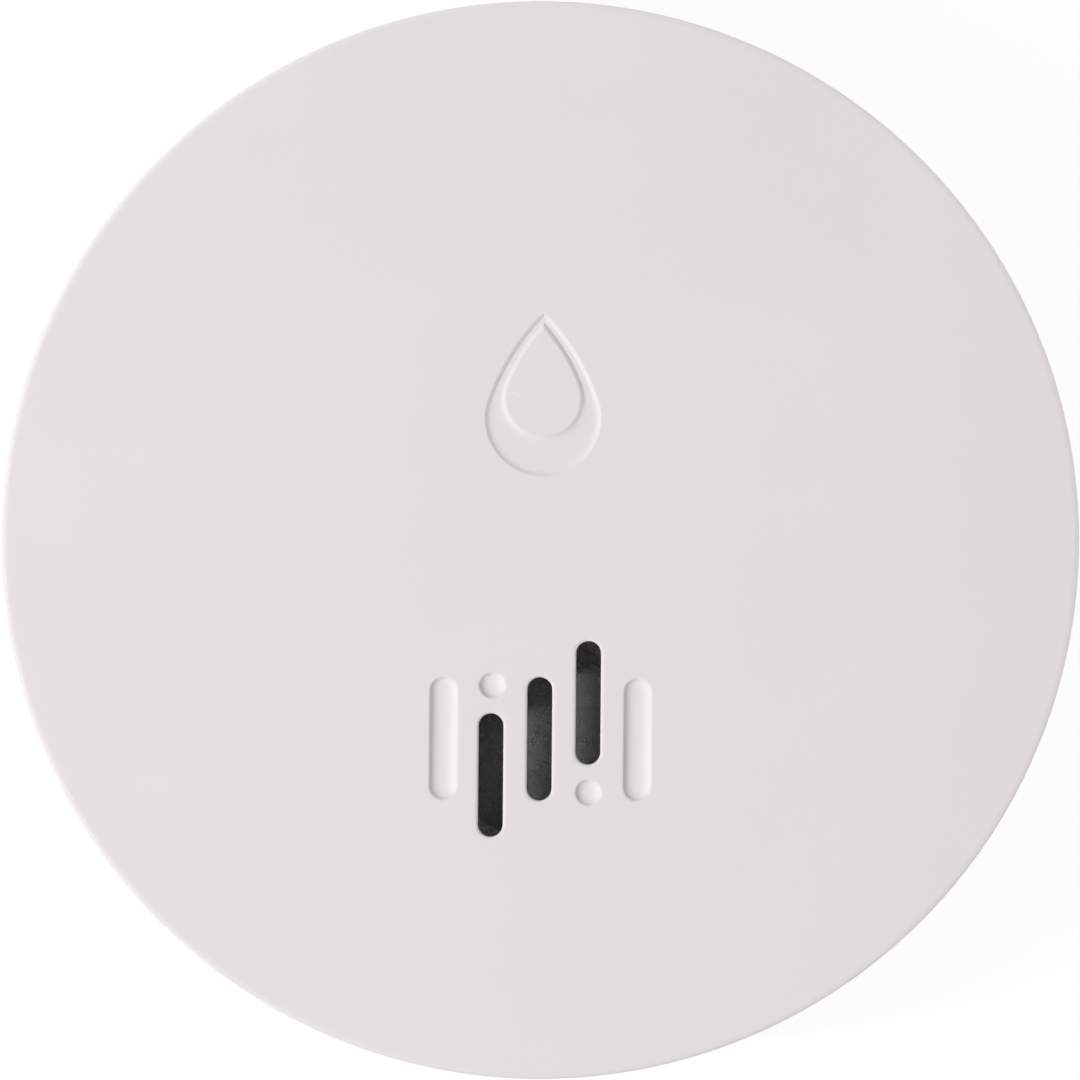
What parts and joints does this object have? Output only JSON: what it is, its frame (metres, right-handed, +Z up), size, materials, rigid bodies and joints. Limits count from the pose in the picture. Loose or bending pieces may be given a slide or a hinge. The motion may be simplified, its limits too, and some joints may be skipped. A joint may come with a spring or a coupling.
{
  "type": "water leak sensor",
  "caption": "Flat round white water leak sensor that stands on metal probes, with a slotted sounder grille and a drop mark on top and a hinged battery door underneath.",
  "frame": {"origin": "on the floor under the middle of the puck, level with the flat tips of the probes", "axes": "+Z up out of the top face, +Y from the grille towards the drop mark, +X to the right of the drop mark seen from above"},
  "size_m": [0.088, 0.088, 0.0221],
  "materials": {
    "shell": "fine matt moulded white",
    "seal": "soft matt silicone",
    "screw_steel": "zinc plated",
    "contact_metal": "nickel plated spring steel",
    "probe_metal": "gold plated",
    "standoff_brass": "turned",
    "cell_jacket": "plain printed sleeve without words",
    "board": "green solder mask",
    "can": "tin plated sheet",
    "chip_black": "moulded epoxy",
    "ferrite": "sintered ferrite",
    "copper": "enamelled copper wire",
    "capacitor_can": "drawn can",
    "pale_part": "pale ceramic and lens resin",
    "button_rubber": "soft matt silicone",
    "sounder_black": "scuffed black plastic",
    "disc_brass": "rolled sheet",
    "foam": "open cell foam"
  },
  "bodies": {
    "housing": {"top_cover": "shell", "base": "shell", "housing_seal": "seal", "housing_screws": "screw_steel", "cell_front": "cell_jacket", "cell_rear": "cell_jacket", "positive_contact": "contact_metal", "negative_contact": "contact_metal", "negative_spring": "contact_metal", "bridge_contact": "contact_metal", "bridge_spring": "contact_metal", "probes": "probe_metal", "probe_rings": "seal", "standoffs": "standoff_brass", "main_board": "board", "radio_board": "board", "shield_can": "can", "controller_chip": "chip_black", "crystal": "can", "boost_coil": "ferrite", "coil_winding": "copper", "capacitor": "capacitor_can", "chip_parts": "pale_part", "status_lamp": "pale_part", "switch_body": "chip_black", "sounder_case": "sounder_black", "sounder_disc": "disc_brass", "sounder_plug": "sounder_black", "sounder_pins": "contact_metal", "sounder_foam": "foam"},
    "door": {"battery_door": "shell", "door_seal": "seal"},
    "button": {"test_button": "button_rubber"},
    "plunger": {"switch_plunger": "pale_part"}
  },
  "joints": [
    {"name": "door_hinge", "type": "hinge", "parent": "housing", "child": "door", "pos_m": [0, 0.00186, 0.0028], "axis": [-1, 0, 0], "range_deg": [0, 70]},
    {"name": "button_press", "type": "slide", "parent": "housing", "child": "button", "axis": [0, 0, 1], "range_m": [0, 0.0005], "stiffness_N_per_m": 1500, "springref_m": -0.0004},
    {"name": "plunger_press", "type": "slide", "parent": "housing", "child": "plunger", "axis": [0, 0, 1], "range_m": [0, 0.0005]}
  ],
  "couplings": [
    {"joint": "plunger_press", "follows": "button_press", "ratio": 1}
  ]
}
